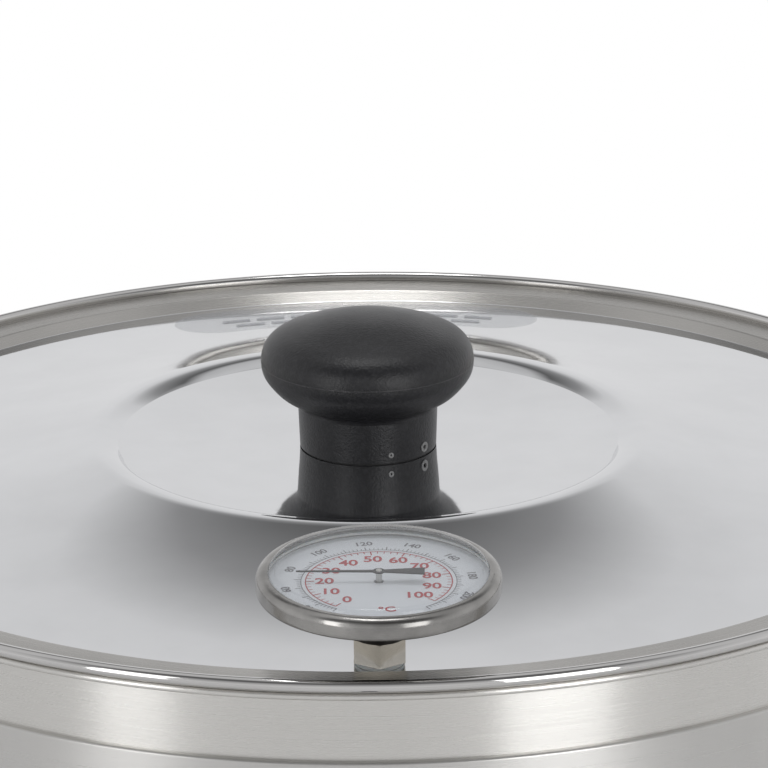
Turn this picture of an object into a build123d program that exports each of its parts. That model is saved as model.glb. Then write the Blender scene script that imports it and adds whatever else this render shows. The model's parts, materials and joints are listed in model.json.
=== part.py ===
"""Electric canning urn: a twin-skin stainless pot on a heated base, with a polished lid that carries
a black knob and a dial thermometer, a tap at the front, side handles and a loose jar rack.

Frame: millimetres, +Z up, origin on the floor at the middle of the foot ring, front along -Y.
"""
from build123d import *
from math import cos, hypot, radians, sin, tan
import os

# ---- driving dimensions ------------------------------------------------------------------------
RIM_TOP = 396.0  # top of the lid's rolled rim
LID_R = 179.0  # outside of the lid's rolled rim
SHEET = 0.8  # stainless sheet of the lid, tank and shell
ROLL_R = 1.7  # rolled rim of the lid
FLANGE_DROP = 2.6  # lid's brushed flange, below the rim
FLANGE_IN_R = 165.3
PANEL_R = 162.0  # outside of the lid's polished panel
PANEL_DROP = 5.6
PANEL_SLOPE = 2.5  # degrees, at the panel's outside
PANEL_CURVE = 0.00046  # the panel steepens inward by this factor
PANEL_POWER = 2.2
CREST_IN_R = 82.0  # where the panel meets the raised crest
DISC_R = 72.2  # crease around the central disc
DISC_RISE = 3.2  # crease, above the rim
SEAT_RISE = 0.8  # flat seat of the knob, above the rim
SEAT_R = 24.0

TANK_R = 166.5  # inside of the tank
TANK_FLOOR = 92.0  # inside floor of the tank
TANK_CORNER = 12.0
BAND_R = 175.5  # outside of the tank's turned-down band
HEM_R = 1.0
SHELL_R = 177.0  # outside of the shell
SHELL_TOP = RIM_TOP - 22.6
SHELL_BOTTOM = 62.0

FOOT_H = 14.0
FOOT_RING_R = 148.0  # middle of the rubber ring that the urn stands on
FOOT_W = 9.0  # half the ring's width
PLATE_T = 1.5
SKIRT_R = 179.5
SKIRT_TOP = 70.0
SKIRT_WALL = 3.0
RUNNING = 0.05  # radial clearance of a turning shaft

KNOB_NECK_R = 19.7
KNOB_R = 30.6
KNOB_EQUATOR = 25.6  # widest place, above the seat
KNOB_DOME = 13.3
KNOB_UNDER = 15.3
KNOB_GASKET = 0.3
KNOB_CAVITY_R = 17.5
KNOB_SCREW_R = 3.0
PORT_LEVEL = 2.7  # steam ports, above the seat
PORT_SMALL = (19.4, 0.7)  # bearing from the front in degrees, and radius
PORT_LARGE = (54.4, 1.3)
PORT_WINDOW = -15.6  # bearing of the collar's window

GAUGE_R = 152.5  # thermometer, from the lid's axis
GAUGE_AZ = 1.13  # bearing from the front
GAUGE_TILT = 3.0  # leans outward with the panel
HEX_ACROSS = 13.0
STEM_R = 2.5
PROBE = 100.0  # probe below the panel
SPINDLE_R = 0.8
BEZEL_R = 31.0
GLASS_R = 27.9
GLASS_TOP = 24.5  # flange of the raised lens, above the panel
GLASS_T = 1.1
LENS_RISE = 2.1
DIAL_TOP = 22.1
POINTER_RISE = 2.6  # pointer above the dial
POINTER_AIM = 88.2  # degrees anticlockwise from the top of the dial, at 20 degrees Celsius

TAP_Z = 122.0
TAP_REACH = 34.0  # valve's axis, outside the shell
TAP_BORE_R = 5.5
TAP_SHANK_R = 9.5
TAP_LEVER_ARM = 6.0

CONTROL_Z = 42.0
FASCIA_R = 182.5
LAMP_AZ = (-11.5, -17.5)
SWITCH_AZ = 15.0

RACK_R = 150.0
RACK_TOP = TANK_FLOOR + 15.0

os.makedirs("parts", exist_ok=True)


# ---- helpers -----------------------------------------------------------------------------------
def turn(points, rounds=(), axis=Axis.Z, plane=Plane.XZ, mode=Mode.ADD):
    """Revolve a closed outline of (radius, height) points, some corners rounded (radius, height, size)."""
    with BuildSketch(plane) as outline:
        with BuildLine():
            Polyline(*points, close=True)
        make_face()
        for radius, height, size in rounds:
            fillet(outline.vertices().sort_by_distance((radius, height))[0], size)
    revolve(outline.sketch, axis=axis, mode=mode)


def ring(inner, outer, low, high, mode=Mode.ADD):
    """A plain ring about Z."""
    turn([(inner, low), (outer, low), (outer, high), (inner, high)], mode=mode)


def drill(plane, radius, start, end, mode=Mode.SUBTRACT):
    """A round bar or hole along a plane's normal, between two distances from its origin."""
    with BuildSketch(plane.offset(start)) as outline:
        Circle(radius)
    extrude(outline.sketch, amount=end - start, mode=mode)


def tube(plane, inner, outer, start, end):
    """A ring along a plane's normal."""
    with BuildSketch(plane.offset(start)) as outline:
        Circle(outer)
        Circle(inner, mode=Mode.SUBTRACT)
    extrude(outline.sketch, amount=end - start)


def hexagon(plane, across, hole, start, end):
    """A hexagonal nut along a plane's normal, with a corner towards the plane's -Y."""
    with BuildSketch(plane.offset(start)) as outline:
        RegularPolygon(across / 2, 6, major_radius=False, rotation=30)
        Circle(hole, mode=Mode.SUBTRACT)
    extrude(outline.sketch, amount=end - start)


def bearing_plane(bearing, radius, height):
    """A plane facing outward at a bearing from the front, its Y axis pointing up."""
    out = (sin(radians(bearing)), -cos(radians(bearing)), 0)
    side = (cos(radians(bearing)), sin(radians(bearing)), 0)
    return Plane(origin=(radius * out[0], radius * out[1], height), x_dir=side, z_dir=out)


def polar_planes(radius, count, height, first=0.0):
    """Horizontal planes spaced evenly round the axis."""
    places = [radians(first + 360 / count * index) for index in range(count)]
    return [Plane((radius * cos(place), radius * sin(place), height)) for place in places]


def finish(piece, label):
    """Name a finished piece and write its STEP file."""
    piece.part.label = label
    export_step(piece.part, f"parts/{label}.step")


# ---- lid ---------------------------------------------------------------------------------------
def panel_rise(radius):
    """Height of the polished panel above the lid's rim."""
    inward = PANEL_R - radius
    return inward * tan(radians(PANEL_SLOPE)) + PANEL_CURVE * inward**PANEL_POWER - PANEL_DROP


def lid_face(lift):
    """The lid's outline from its middle to its rolled rim, lifted by a distance."""
    level = RIM_TOP + lift
    crest_in = (CREST_IN_R, level + panel_rise(CREST_IN_R))
    panel = [(radius, level + panel_rise(radius)) for radius in (102, 122, 142, PANEL_R)]
    Line((0, level + SEAT_RISE), (SEAT_R, level + SEAT_RISE))
    ThreePointArc(
        (SEAT_R, level + SEAT_RISE), (48, level + SEAT_RISE + 0.85), (DISC_R, level + DISC_RISE)
    )
    Spline(
        (DISC_R, level + DISC_RISE), (78.2, level + 5.45), crest_in,
        tangents=[(1, 0.75), (1, -0.24)],
    )
    Spline(crest_in, *panel, tangents=[(1, -0.24), (1, -tan(radians(PANEL_SLOPE)))])
    FilletPolyline(
        panel[-1], (FLANGE_IN_R, level - FLANGE_DROP), (LID_R - ROLL_R, level - FLANGE_DROP), radius=1.2
    )


gauge_foot = (GAUGE_R * sin(radians(GAUGE_AZ)), -GAUGE_R * cos(radians(GAUGE_AZ)))
gauge = Plane(
    origin=(*gauge_foot, RIM_TOP + panel_rise(GAUGE_R)),
    x_dir=(cos(radians(GAUGE_AZ)), sin(radians(GAUGE_AZ)), 0),
    z_dir=(
        sin(radians(GAUGE_TILT)) * sin(radians(GAUGE_AZ)),
        -sin(radians(GAUGE_TILT)) * cos(radians(GAUGE_AZ)),
        cos(radians(GAUGE_TILT)),
    ),
)
gauge_axis = Axis(gauge.origin, gauge.z_dir)
seat = Plane.XY.offset(RIM_TOP + SEAT_RISE)
THREAD_R = 4.0  # thermometer's threaded shank

with BuildPart() as lid_shell:
    with BuildSketch(Plane.XZ) as lid_profile:
        with BuildLine():
            lid_face(0)
            lid_face(-SHEET)
            Line((0, RIM_TOP + SEAT_RISE), (0, RIM_TOP + SEAT_RISE - SHEET))
            Line(
                (LID_R - ROLL_R, RIM_TOP - FLANGE_DROP), (LID_R - ROLL_R, RIM_TOP - FLANGE_DROP - SHEET)
            )
        make_face()
        with Locations((LID_R - ROLL_R, RIM_TOP - ROLL_R)):
            Circle(ROLL_R)
    revolve(axis=Axis.Z)
    drill(seat, KNOB_SCREW_R + RUNNING, -5, 5)
    for vent in polar_planes(11, 3, RIM_TOP, first=90):
        drill(vent, 1.5, -5, 5)
    drill(gauge, THREAD_R + 0.1, -5, 5)
finish(lid_shell, "lid_shell")

with BuildPart() as vent_collar:
    drill(seat, 17.1, 0, 6, mode=Mode.ADD)
    drill(seat, 15.9, 1.0, 6)
    drill(seat, KNOB_SCREW_R + 0.6, -1, 6)
    for vent in polar_planes(11, 3, RIM_TOP, first=90):
        drill(vent, 1.5, -1, 5)
    with BuildSketch(bearing_plane(PORT_WINDOW, 14, RIM_TOP + SEAT_RISE + PORT_LEVEL)) as window:
        Rectangle(3.4, 3.2)
    extrude(window.sketch, amount=5, mode=Mode.SUBTRACT)
finish(vent_collar, "vent_collar")

# ---- knob --------------------------------------------------------------------------------------
knob_base = RIM_TOP + SEAT_RISE + KNOB_GASKET
equator = RIM_TOP + SEAT_RISE + KNOB_EQUATOR
NECK_TOP_R = 20.1
NECK_TOP = 12.0  # above the seat
INSERT_R = 4.5

with BuildPart() as lid_knob:
    with BuildSketch(Plane.XZ):
        with BuildLine():
            neck_top = (NECK_TOP_R, RIM_TOP + SEAT_RISE + NECK_TOP)
            under = [(24.2, equator - 10.1), (28.3, equator - 6.2)]
            Polyline((0, knob_base), (KNOB_NECK_R, knob_base), neck_top)
            Spline(neck_top, *under, (KNOB_R, equator), tangents=[(0.3, 1), (0, 1)])
            Spline(
                (KNOB_R, equator),
                (KNOB_R * cos(radians(45)), equator + KNOB_DOME * sin(radians(45))),
                (0, equator + KNOB_DOME),
                tangents=[(0, 1), (-1, 0)],
            )
            Line((0, equator + KNOB_DOME), (0, knob_base))
        make_face()
    revolve(axis=Axis.Z)
    ring(INSERT_R + 2.5, KNOB_CAVITY_R, knob_base, knob_base + 11, mode=Mode.SUBTRACT)
    drill(seat, INSERT_R + 2.5, 0, 2.4)
    drill(seat, INSERT_R, 0, 16)
    for bearing, radius in (PORT_SMALL, PORT_LARGE):
        port = bearing_plane(bearing, 0, RIM_TOP + SEAT_RISE + PORT_LEVEL)
        drill(port, radius, KNOB_CAVITY_R - 2, KNOB_NECK_R + 2)
finish(lid_knob, "lid_knob")

with BuildPart() as knob_gasket:
    tube(seat, KNOB_CAVITY_R, KNOB_NECK_R - 0.3, 0, KNOB_GASKET)
finish(knob_gasket, "knob_gasket")

with BuildPart() as knob_insert:
    tube(seat, KNOB_SCREW_R, INSERT_R, 2.4, 15)
finish(knob_insert, "knob_insert")

SPRING_WASHER_T = 1.2
SCREW_HEAD_R = 5.5
with BuildPart() as knob_screw:
    head_top = -SHEET - SPRING_WASHER_T
    drill(seat, KNOB_SCREW_R, head_top, 14, mode=Mode.ADD)
    drill(seat, SCREW_HEAD_R, head_top - 3.2, head_top, mode=Mode.ADD)
    fillet(knob_screw.edges().group_by(Axis.Z)[0], 1.4)
    with BuildSketch(seat.offset(head_top - 3.2)) as slot:
        Rectangle(12, 1.2)
    extrude(slot.sketch, amount=1.4, mode=Mode.SUBTRACT)
finish(knob_screw, "knob_screw")

with BuildPart() as knob_washer:
    tube(seat, KNOB_SCREW_R, 5.8, -SHEET - SPRING_WASHER_T, -SHEET - 0.05)
finish(knob_washer, "knob_washer")

# ---- thermometer, built on its own leaning plane -------------------------------------------------
GASKET_T = 1.2
HEX_H = 6.4
NECK_H = 8.6
case_back = GASKET_T + HEX_H + NECK_H
NECK_R = 6.9

with BuildPart() as gauge_fitting:
    hexagon(gauge, HEX_ACROSS, STEM_R, GASKET_T, GASKET_T + HEX_H)
    tube(gauge, STEM_R, THREAD_R, -12, GASKET_T)
    tube(gauge, STEM_R, NECK_R, GASKET_T + HEX_H, case_back)
finish(gauge_fitting, "thermometer_fitting")

with BuildPart() as gauge_gaskets:
    tube(gauge, THREAD_R, 6.4, 0.08, GASKET_T)
    tube(gauge, THREAD_R, 8.0, -SHEET - GASKET_T, -SHEET - 0.12)
finish(gauge_gaskets, "thermometer_gaskets")

with BuildPart() as gauge_nut:
    hexagon(gauge, HEX_ACROSS, THREAD_R, -SHEET - GASKET_T - 4, -SHEET - GASKET_T)
finish(gauge_nut, "thermometer_nut")

with BuildPart() as gauge_stem:
    drill(gauge, STEM_R, -PROBE, case_back, mode=Mode.ADD)
    drill(gauge, STEM_R - 0.4, 1 - PROBE, case_back)
    fillet(gauge_stem.edges().group_by(gauge_axis)[0], 0.9)
finish(gauge_stem, "thermometer_stem")

SPINDLE_FOOT = 2.5 - PROBE
with BuildPart() as bimetal_coil:
    tube(gauge, 1.4, 1.8, SPINDLE_FOOT, SPINDLE_FOOT + 42)
    tube(gauge, SPINDLE_R + 0.35, 1.8, SPINDLE_FOOT - 0.8, SPINDLE_FOOT)
finish(bimetal_coil, "bimetal_coil")

with BuildPart() as spindle_bush:
    tube(gauge, SPINDLE_R + RUNNING, STEM_R - 0.4, case_back - 5, case_back)
finish(spindle_bush, "spindle_bush")

CASE_WALL = 0.6
CASE_R = 29.6
GASKET_RING = 0.6
DIAL_T = 0.5
lens_low = GLASS_TOP - GLASS_T
lens_ceiling = GLASS_TOP + LENS_RISE - 1.0
case_top = lens_low - GASKET_RING
dial_back = DIAL_TOP - DIAL_T
CASE_BEND = 17.6


def turn_on_gauge(points):
    """Revolve a closed outline of (radius, height) points about the thermometer's axis."""
    across = Plane(gauge.origin, x_dir=gauge.x_dir, z_dir=-gauge.y_dir)
    turn(points, axis=gauge_axis, plane=across)


with BuildPart() as gauge_case:
    turn_on_gauge(
        [
            (STEM_R, case_back), (20, case_back), (25.6, CASE_BEND), (CASE_R, 21.2), (CASE_R, case_top),
            (CASE_R - CASE_WALL, case_top), (CASE_R - CASE_WALL, 21.5), (25.3, CASE_BEND + CASE_WALL),
            (19.8, case_back + CASE_WALL), (STEM_R, case_back + CASE_WALL),
        ]
    )

with gauge_case:
    tube(gauge, CASE_R - 2.2, CASE_R - CASE_WALL, dial_back - 0.5, dial_back)
finish(gauge_case, "thermometer_case")

with BuildPart() as gauge_dial:
    tube(gauge, 1.25, CASE_R - CASE_WALL, dial_back, DIAL_TOP)
finish(gauge_dial, "thermometer_dial")

with BuildPart() as lens_gasket:
    tube(gauge, CASE_R - 1.2, CASE_R, case_top, lens_low)
finish(lens_gasket, "lens_gasket")

with BuildPart() as gauge_lens:
    drill(gauge, CASE_R, lens_low, GLASS_TOP, mode=Mode.ADD)
    drill(gauge, GLASS_R - 0.1, GLASS_TOP, GLASS_TOP + LENS_RISE, mode=Mode.ADD)
    fillet(gauge_lens.edges().group_by(gauge_axis)[-1], 1.6)
    drill(gauge, GLASS_R - 1.7, lens_low, lens_ceiling)
finish(gauge_lens, "thermometer_lens")

BEZEL_LOW = 19.4
BEZEL_TOP = GLASS_TOP + 0.7
with BuildPart() as gauge_bezel:
    tube(gauge, CASE_R, BEZEL_R, BEZEL_LOW, BEZEL_TOP)
    tube(gauge, GLASS_R, CASE_R + 0.2, GLASS_TOP, BEZEL_TOP)
    top_rim, low_rim = (
        gauge_bezel.edges().filter_by(GeomType.CIRCLE).filter_by(lambda rim: rim.radius > 30.5)
        .sort_by(gauge_axis)[index] for index in (-1, 0)
    )
    fillet(top_rim, 2.2)
    fillet(low_rim, 1.3)
finish(gauge_bezel, "thermometer_bezel")

pointer_low = DIAL_TOP + POINTER_RISE
POINTER_T = 0.35
TIP_LENGTH = 20.8
TAIL_LENGTH = 11.5
aim_side = gauge.x_dir * cos(radians(POINTER_AIM)) + gauge.y_dir * sin(radians(POINTER_AIM))
aim = Plane(gauge.origin, x_dir=aim_side, z_dir=gauge.z_dir)
with BuildPart() as gauge_pointer:
    with BuildSketch(aim.offset(pointer_low)) as needle:
        with BuildLine():
            Polyline((0.15, TIP_LENGTH), (0.55, 0), (1.9, -TAIL_LENGTH),
                     (-1.9, -TAIL_LENGTH), (-0.55, 0), (-0.15, TIP_LENGTH), close=True)
        make_face()
        Circle(1.5)
        Circle(SPINDLE_R, mode=Mode.SUBTRACT)
    extrude(needle.sketch, amount=POINTER_T)
finish(gauge_pointer, "thermometer_pointer")

with BuildPart() as gauge_spindle:
    drill(gauge, SPINDLE_R, SPINDLE_FOOT, lens_ceiling - 0.25, mode=Mode.ADD)
    fillet(gauge_spindle.edges().group_by(gauge_axis)[-1], 0.3)
finish(gauge_spindle, "pointer_spindle")

# ---- pot ---------------------------------------------------------------------------------------
tank_out = TANK_R + SHEET
ledge = RIM_TOP - FLANGE_DROP - SHEET  # the lid rests here
tank_low = TANK_FLOOR - SHEET
band_low = SHELL_TOP - 10
tap = bearing_plane(0, 0, TAP_Z)

with BuildPart() as inner_tank:
    turn(
        [
            (0, TANK_FLOOR), (TANK_R, TANK_FLOOR), (TANK_R, ledge), (BAND_R, ledge), (BAND_R, band_low),
            (BAND_R - SHEET, band_low), (BAND_R - SHEET, ledge - SHEET), (tank_out, ledge - SHEET),
            (tank_out, tank_low), (0, tank_low),
        ],
        rounds=[
            (TANK_R, TANK_FLOOR, TANK_CORNER), (tank_out, tank_low, TANK_CORNER + SHEET),
            (TANK_R, ledge, 1.6),
        ],
    )
    with BuildSketch(Plane.XZ) as hem:
        with Locations((SHELL_R, ledge - 0.2 - HEM_R)):
            Circle(HEM_R)
        with Locations(((BAND_R + SHELL_R) / 2, ledge - 0.2 - HEM_R)):
            Rectangle(SHELL_R - BAND_R + 0.4, 2 * HEM_R)
    revolve(hem.sketch, axis=Axis.Z)
    drill(tap, TAP_SHANK_R + 0.2, 150, 172)
finish(inner_tank, "inner_tank")

with BuildPart() as outer_shell:
    turn(
        [
            (SHELL_R - SHEET, SHELL_BOTTOM), (SHELL_R, SHELL_BOTTOM), (SHELL_R, SHELL_TOP),
            (BAND_R, SHELL_TOP), (BAND_R, SHELL_TOP - SHEET), (SHELL_R - SHEET, SHELL_TOP - SHEET),
        ],
        rounds=[(SHELL_R, SHELL_TOP, 0.7)],
    )
    drill(tap, TAP_SHANK_R + 0.2, 172, 182)
HANDLE_Z = 290.0
HANDLE_HALF = 48.0  # screws, either side of the handle's middle
HANDLE_SCREW_R = 2.5
handle_sides = {"left": -1, "right": 1}
handle_screw_planes = [
    Plane((0, side * HANDLE_HALF, HANDLE_Z), x_dir=(0, hand, 0), z_dir=(hand, 0, 0))
    for hand in handle_sides.values()
    for side in (-1, 1)
]
with outer_shell:
    for place in handle_screw_planes:
        drill(place, HANDLE_SCREW_R + 0.2, 160, 180)
finish(outer_shell, "outer_shell")

JACKET_IN = 168.0
JACKET_OUT = 172.0
with BuildPart() as insulation_jacket:
    ring(JACKET_IN, JACKET_OUT, TANK_FLOOR + 14, SHELL_TOP - 16)
    drill(tap, TAP_SHANK_R + 6, 150, 182)
finish(insulation_jacket, "insulation_jacket")

# ---- handles -----------------------------------------------------------------------------------
GRIP_OUT = 222.0
GRIP_GAP = (187.0, 206.0)
GRIP_H = 22.0
screw_seat = 190.0
for hand_name, hand in handle_sides.items():
    with BuildPart() as handle:
        with BuildSketch(Plane.XY.offset(HANDLE_Z - GRIP_H / 2)):
            with Locations((hand * (166 + GRIP_OUT) / 2, 0)):
                RectangleRounded(GRIP_OUT - 166, 2 * HANDLE_HALF + 28, 20)
            with Locations((hand * sum(GRIP_GAP) / 2, 0)):
                RectangleRounded(GRIP_GAP[1] - GRIP_GAP[0], 2 * HANDLE_HALF - 24, 9, mode=Mode.SUBTRACT)
        extrude(amount=GRIP_H)
        rims = handle.edges().group_by(Axis.Z)
        fillet(rims[-1] + rims[0], 4.0)
        Cylinder(SHELL_R, 3 * RIM_TOP, mode=Mode.SUBTRACT)
        for place in handle_screw_planes:
            drill(place, HANDLE_SCREW_R + 0.2, 160, GRIP_OUT + 2)
            drill(place, 5.2, screw_seat, GRIP_OUT + 2)
    finish(handle, f"handle_{hand_name}")

BACKING_R = (173.4, 175.4)
with BuildPart() as handle_backings:
    for hand in handle_sides.values():
        with BuildSketch(Plane.XY.offset(HANDLE_Z - 11)) as strip:
            Circle(BACKING_R[1])
            Circle(BACKING_R[0], mode=Mode.SUBTRACT)
            with Locations((hand * 170, 0)):
                Rectangle(60, 2 * HANDLE_HALF + 20, mode=Mode.INTERSECT)
        extrude(strip.sketch, amount=22)
    for place in handle_screw_planes:
        drill(place, HANDLE_SCREW_R, 150, 180)
finish(handle_backings, "handle_backings")

SCREW_TIP = 166.6
with BuildPart() as handle_screws:
    for place in handle_screw_planes:
        drill(place, HANDLE_SCREW_R, SCREW_TIP, screw_seat, mode=Mode.ADD)
        drill(place, 4.6, screw_seat, screw_seat + 3.4, mode=Mode.ADD)
        drill(place, 1.6, screw_seat + 1.2, screw_seat + 4)
finish(handle_screws, "handle_screws")

# ---- tap ---------------------------------------------------------------------------------------
valve_y = -(SHELL_R + TAP_REACH)
valve = Plane((0, valve_y, TAP_Z))
FLANGE_FACE = SHELL_R + 3.0
CHAMBER_R = 10.5
SPOUT_LOW = -44.0
CHAMBER_TOP = 16.0
CUP_SEAT = -10.0

with BuildPart() as tap_body:
    drill(tap, TAP_SHANK_R, 152, FLANGE_FACE, mode=Mode.ADD)
    drill(tap, 16.0, FLANGE_FACE, FLANGE_FACE + 4, mode=Mode.ADD)
    fillet(tap_body.edges().filter_by(lambda rim: rim.radius > 15.9 if rim.geom_type == GeomType.CIRCLE
                                      else False), 1.2)
    drill(tap, 10.5, FLANGE_FACE + 4, SHELL_R + TAP_REACH, mode=Mode.ADD)
    drill(valve, CHAMBER_R + 3, -16, CHAMBER_TOP, mode=Mode.ADD)
    fillet(tap_body.edges().filter_by(Plane.XY).group_by(Axis.Z)[0], 2.5)
    drill(valve, TAP_BORE_R + 2.6, SPOUT_LOW, -14, mode=Mode.ADD)
    fillet(tap_body.edges().filter_by(Plane.XY).group_by(Axis.Z)[0], 0.8)
    drill(valve, CHAMBER_R, CUP_SEAT, CHAMBER_TOP)
    drill(valve, TAP_BORE_R, SPOUT_LOW - 1, CUP_SEAT)
    drill(tap, TAP_BORE_R, 150, SHELL_R + TAP_REACH - 6)
finish(tap_body, "tap_body")

with BuildPart() as outer_seal:
    tube(tap, TAP_SHANK_R, 15.0, SHELL_R - 4, FLANGE_FACE)
    Cylinder(SHELL_R, 3 * RIM_TOP, mode=Mode.SUBTRACT)
finish(outer_seal, "tap_outer_seal")

NUT_FACE = 162.0
with BuildPart() as inner_seal:
    tube(tap, TAP_SHANK_R, 14.0, NUT_FACE, TANK_R + 4)
    ring(TANK_R, TANK_R + 12, TAP_Z - 30, TAP_Z + 30, mode=Mode.SUBTRACT)
finish(inner_seal, "tap_inner_seal")

with BuildPart() as tap_nut:
    hexagon(tap, 26.0, TAP_SHANK_R, NUT_FACE - 7, NUT_FACE)
finish(tap_nut, "tap_nut")

TAP_STEM_R = 2.5
BONNET_TOP = CHAMBER_TOP + 7
PIVOT_RISE = BONNET_TOP + 9
CHEEK = (2.9, 5.6)  # lever's cheeks, either side of the stem
EAR = (5.95, 8.9)
PIN_R = 1.6
pivot = Plane((0, valve_y - TAP_LEVER_ARM, TAP_Z + PIVOT_RISE), x_dir=(0, -1, 0), z_dir=(-1, 0, 0))
lever_plane = Plane((0, valve_y, TAP_Z + PIVOT_RISE), x_dir=(0, -1, 0), z_dir=(-1, 0, 0))

with BuildPart() as tap_bonnet:
    drill(valve, 12.8, CHAMBER_TOP, BONNET_TOP, mode=Mode.ADD)
    fillet(tap_bonnet.edges().filter_by(GeomType.CIRCLE).group_by(Axis.Z)[-1], 1.2)
    drill(valve, CHAMBER_R, CHAMBER_TOP - 5, CHAMBER_TOP, mode=Mode.ADD)
    for side in (-1, 1):
        with BuildSketch(pivot.offset(side * sum(EAR) / 2 - (EAR[1] - EAR[0]) / 2)) as ear:
            Circle(3.8)
            with Locations((0, -5)):
                Rectangle(7.6, 10)
        extrude(ear.sketch, amount=EAR[1] - EAR[0])
    drill(pivot, PIN_R, -EAR[1] - 1, EAR[1] + 1)
    drill(valve, TAP_STEM_R + RUNNING, CHAMBER_TOP - 6, BONNET_TOP + 1)
finish(tap_bonnet, "tap_bonnet")

with BuildPart() as tap_pin:
    drill(pivot, PIN_R, -EAR[1] - 0.6, EAR[1] + 0.6, mode=Mode.ADD)
    fillet(tap_pin.edges(), 0.4)
finish(tap_pin, "tap_pin")

with BuildPart() as tap_stem:
    drill(valve, TAP_STEM_R, CUP_SEAT + 3, PIVOT_RISE, mode=Mode.ADD)
    drill(lever_plane, 1.5, -CHEEK[1] + 0.1, CHEEK[1] - 0.1, mode=Mode.ADD)
finish(tap_stem, "tap_stem")

with BuildPart() as seat_cup:
    with BuildSketch(Plane.XZ) as cup:
        with BuildLine():
            Polyline((0, 0), (7.2, 0), (9.2, 5), (9.2, 14), (7.6, 14), (6.4, 7.5), (TAP_STEM_R, 7.5),
                     (TAP_STEM_R, 3), (0, 3), close=True)
        make_face()
    revolve(cup.sketch, axis=Axis.Z)
    seat_cup.part.position = (0, valve_y, TAP_Z + CUP_SEAT)
finish(seat_cup, "tap_seat_cup")

with BuildPart() as tap_lever:
    with BuildSketch(lever_plane) as side_view:
        with BuildLine():
            Polyline((-4.6, -3.6), (-4.6, 3.8), (10, 5.2), (46, 19), (57, 21), (57, 15.5), (47, 12.5),
                     (13, -1.5), (8, -3.6), close=True)
        make_face()
        fillet(side_view.vertices().group_by(Axis.X)[-1], 2.4)
        fillet(side_view.vertices().sort_by_distance((10, 5.2))[0], 12)
        fillet(side_view.vertices().sort_by_distance((46, 19))[0], 14)
        fillet(side_view.vertices().sort_by_distance((47, 12.5))[0], 14)
        fillet(side_view.vertices().group_by(Axis.X)[0], 2.8)
    extrude(side_view.sketch, amount=CHEEK[1], both=True)
    with BuildSketch(lever_plane) as cuts:
        SlotOverall(5.6, 3.6)
        with Locations((TAP_LEVER_ARM, 0)):
            Circle(PIN_R + RUNNING)
    extrude(cuts.sketch, amount=10, both=True, mode=Mode.SUBTRACT)
    with BuildSketch(lever_plane) as fork:
        with Locations((1, 0)):
            Rectangle(24, 20)
    extrude(fork.sketch, amount=CHEEK[0], both=True, mode=Mode.SUBTRACT)
finish(tap_lever, "tap_lever")

# ---- base --------------------------------------------------------------------------------------
skirt_in = SKIRT_R - SKIRT_WALL
plate_top = FOOT_H + PLATE_T
SHELL_LEDGE = 174.0
bore_planes = {
    "thermostat": (bearing_plane(0, 0, CONTROL_Z), 5.1),
    "gland": (bearing_plane(180, 0, CONTROL_Z), 8.1),
}
lamp_planes = [bearing_plane(bearing, 0, CONTROL_Z) for bearing in LAMP_AZ]
switch_plane = bearing_plane(SWITCH_AZ, 0, CONTROL_Z)
LAMP_R = 4.0
SWITCH_SIZE = (13.0, 19.0)
PLATE_SCREW_RING = 170.5
plate_screw_planes = polar_planes(PLATE_SCREW_RING, 6, FOOT_H, first=30)

plate_screw_top = plate_top + 3

with BuildPart() as base_skirt:
    turn(
        [
            (166, plate_top), (skirt_in, plate_top), (skirt_in, FOOT_H), (SKIRT_R, FOOT_H),
            (SKIRT_R, SKIRT_TOP), (SHELL_R, SKIRT_TOP), (SHELL_R, SHELL_BOTTOM),
            (SHELL_LEDGE, SHELL_BOTTOM), (SHELL_LEDGE, SHELL_BOTTOM - 3), (skirt_in, SHELL_BOTTOM - 3),
            (skirt_in, plate_screw_top), (166, plate_screw_top),
        ],
        rounds=[(SKIRT_R, SKIRT_TOP, 1.5), (SKIRT_R, FOOT_H, 2.0)],
    )
    for plane, radius in bore_planes.values():
        drill(plane, radius, 165, 185)
    for plane in lamp_planes:
        drill(plane, LAMP_R, 165, 185)
    with BuildSketch(switch_plane.offset(165)) as switch_hole:
        Rectangle(SWITCH_SIZE[0] + 3, SWITCH_SIZE[1] + 3)
    extrude(switch_hole.sketch, amount=20, mode=Mode.SUBTRACT)
    for plane in plate_screw_planes:
        drill(plane, 2.0, -1, 6)
finish(base_skirt, "base_skirt")

RING_WALL = (157.0, 158.2)
with BuildPart() as support_ring:
    ring(RING_WALL[0], 172, SHELL_BOTTOM, SHELL_BOTTOM + 1.2)
    ring(RING_WALL[0], 176, SHELL_BOTTOM, SHELL_BOTTOM + 1.2)
    ring(*RING_WALL, SHELL_BOTTOM, tank_low)
    ring(144, RING_WALL[1], tank_low - 1.2, tank_low)
finish(support_ring, "support_ring")

RESET_R = 3.0
with BuildPart() as bottom_plate:
    drill(Plane.XY, skirt_in - 0.3, FOOT_H, plate_top, mode=Mode.ADD)
    drill(Plane.XY, RESET_R + 1.6, FOOT_H - 1, plate_top + 1)
    for plane in plate_screw_planes:
        drill(plane, 2.0, -1, 3)
    for plane in polar_planes(FOOT_RING_R, 4, FOOT_H, first=45):
        drill(plane, 2.0, -1, 3)
    with BuildSketch(Plane.XY.offset(FOOT_H)) as vents:
        with PolarLocations(100, 12):
            SlotOverall(40, 5)
    extrude(vents.sketch, amount=PLATE_T, mode=Mode.SUBTRACT)
finish(bottom_plate, "bottom_plate")

with BuildPart() as base_screws:
    for plane in plate_screw_planes:
        drill(plane, 2.0, 0, 5.5, mode=Mode.ADD)
        drill(plane, 4.0, -2.2, 0, mode=Mode.ADD)
    fillet(base_screws.edges().group_by(Axis.Z)[0], 1.2)
finish(base_screws, "base_screws")

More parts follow.
